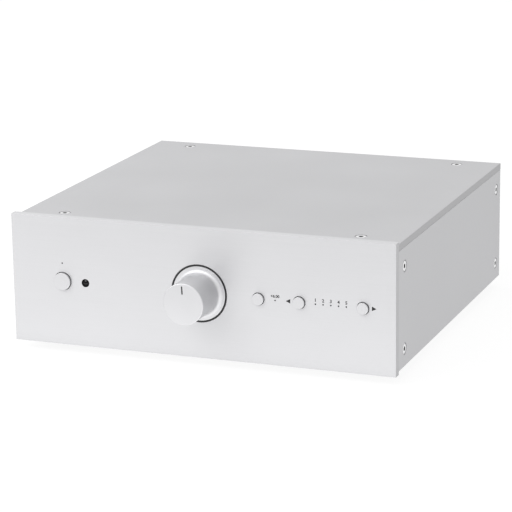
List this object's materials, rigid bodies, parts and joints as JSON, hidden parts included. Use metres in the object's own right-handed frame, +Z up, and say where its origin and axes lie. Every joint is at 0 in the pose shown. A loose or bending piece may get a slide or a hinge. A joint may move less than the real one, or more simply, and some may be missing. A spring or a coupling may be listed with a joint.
{
  "type": "stereo preamplifier",
  "caption": "Flat silver stereo preamplifier with a central volume knob, push buttons, input lights, remote window and rear phono sockets in a screwed aluminium case.",
  "frame": {"origin": "on the table under the middle of the part's box, between the knob's face and the sockets' ends", "axes": "+X to the right seen from the front, +Y to the back, +Z up; the front faces -Y"},
  "size_m": [0.206, 0.224, 0.072],
  "materials": {
    "panel_aluminium": "brushed and anodised",
    "case_aluminium": "fine blasted and anodised",
    "base_aluminium": "satin",
    "rear_aluminium": "fine blasted and anodised",
    "tray_steel": "zinc coated sheet",
    "screw_steel": "nickel plated",
    "zinc_screws": "zinc plated",
    "black_steel": "black oxide",
    "shaft_steel": "ground",
    "motor_steel": "zinc coated",
    "knob_aluminium": "turned and anodised",
    "button_aluminium": "turned and anodised",
    "black_aluminium": "black anodised",
    "brass": "turned",
    "gold_plate": "gold plated",
    "foot_rubber": "moulded, matte",
    "trim_black": "matte",
    "black_plastic": "moulded",
    "blue_plastic": "moulded",
    "white_nylon": "moulded",
    "insert_white": "moulded",
    "insert_red": "moulded",
    "window_smoke": "smoked and polished",
    "light_guide": "clear, unlit",
    "board_green": "lacquered laminate",
    "ribbon_grey": "flat cable"
  },
  "bodies": {
    "case": {"front_panel": "panel_aluminium", "top_cover": "case_aluminium", "left_side_plate": "case_aluminium", "right_side_plate": "case_aluminium", "base_plate": "base_aluminium", "rear_panel": "rear_aluminium", "front_subframe": "tray_steel", "press_nuts": "screw_steel", "case_screws": "screw_steel", "panel_screws": "zinc_screws", "feet": "foot_rubber", "foot_screws": "zinc_screws", "knob_trim_ring": "trim_black", "pot_bush": "brass", "pot_washer": "zinc_screws", "pot_nut": "zinc_screws", "gearbox_case": "black_plastic", "gearbox_cover": "black_plastic", "gearbox_screws": "zinc_screws", "reduction_axle": "shaft_steel", "motor_can": "motor_steel", "pot_body": "blue_plastic", "volume_board": "board_green", "button_switches": "black_plastic", "remote_window": "window_smoke", "remote_receiver": "black_plastic", "status_light_guides": "light_guide", "input_light_guide": "light_guide", "status_diodes": "white_nylon", "power_board": "board_green", "selector_board": "board_green", "board_standoffs": "brass", "board_screws": "zinc_screws", "main_board": "board_green", "relays": "white_nylon", "smoothing_capacitors": "blue_plastic", "audio_chips": "black_plastic", "voltage_regulators": "black_plastic", "heat_sink": "black_aluminium", "ribbon_cables": "ribbon_grey", "ribbon_headers": "black_plastic", "socket_housings": "black_plastic", "socket_shells": "gold_plate", "left_socket_inserts": "insert_white", "right_socket_inserts": "insert_red", "socket_screws": "black_steel", "power_inlet": "black_plastic", "power_inlet_pin": "gold_plate", "trigger_jack": "black_plastic"},
    "volume_control": {"volume_knob": "knob_aluminium", "knob_grub_screw": "black_steel", "volume_shaft": "shaft_steel", "clutch_gear": "white_nylon"},
    "reduction": {"reduction_gear": "white_nylon"},
    "motor_rotor": {"motor_pinion": "brass", "motor_shaft": "shaft_steel"},
    "power_key": {"power_button": "button_aluminium"},
    "gain_key": {"gain_button": "button_aluminium"},
    "input_down_key": {"input_down_button": "button_aluminium"},
    "input_up_key": {"input_up_button": "button_aluminium"}
  },
  "joints": [
    {"name": "volume_turn", "type": "hinge", "parent": "case", "child": "volume_control", "pos_m": [0, -0.091, 0.0384], "axis": [0, 1, 0], "range_deg": [-147, 153]},
    {"name": "reduction_spin", "type": "hinge", "parent": "case", "child": "reduction", "pos_m": [-0.015, -0.091, 0.0384], "axis": [0, 1, 0], "range_deg": [-612, 588]},
    {"name": "motor_spin", "type": "hinge", "parent": "case", "child": "motor_rotor", "pos_m": [-0.027, -0.091, 0.0384], "axis": [0, 1, 0], "range_deg": [-1764, 1836]},
    {"name": "power_press", "type": "slide", "parent": "case", "child": "power_key", "axis": [0, 1, 0], "range_m": [0, 0.0005], "stiffness_N_per_m": 1000, "springref_m": -0.0005},
    {"name": "gain_press", "type": "slide", "parent": "case", "child": "gain_key", "axis": [0, 1, 0], "range_m": [0, 0.0005], "stiffness_N_per_m": 1000, "springref_m": -0.0005},
    {"name": "input_down_press", "type": "slide", "parent": "case", "child": "input_down_key", "axis": [0, 1, 0], "range_m": [0, 0.0005], "stiffness_N_per_m": 1000, "springref_m": -0.0005},
    {"name": "input_up_press", "type": "slide", "parent": "case", "child": "input_up_key", "axis": [0, 1, 0], "range_m": [0, 0.0005], "stiffness_N_per_m": 1000, "springref_m": -0.0005}
  ],
  "couplings": [
    {"joint": "reduction_spin", "follows": "volume_turn", "ratio": -4},
    {"joint": "motor_spin", "follows": "volume_turn", "ratio": 12}
  ]
}
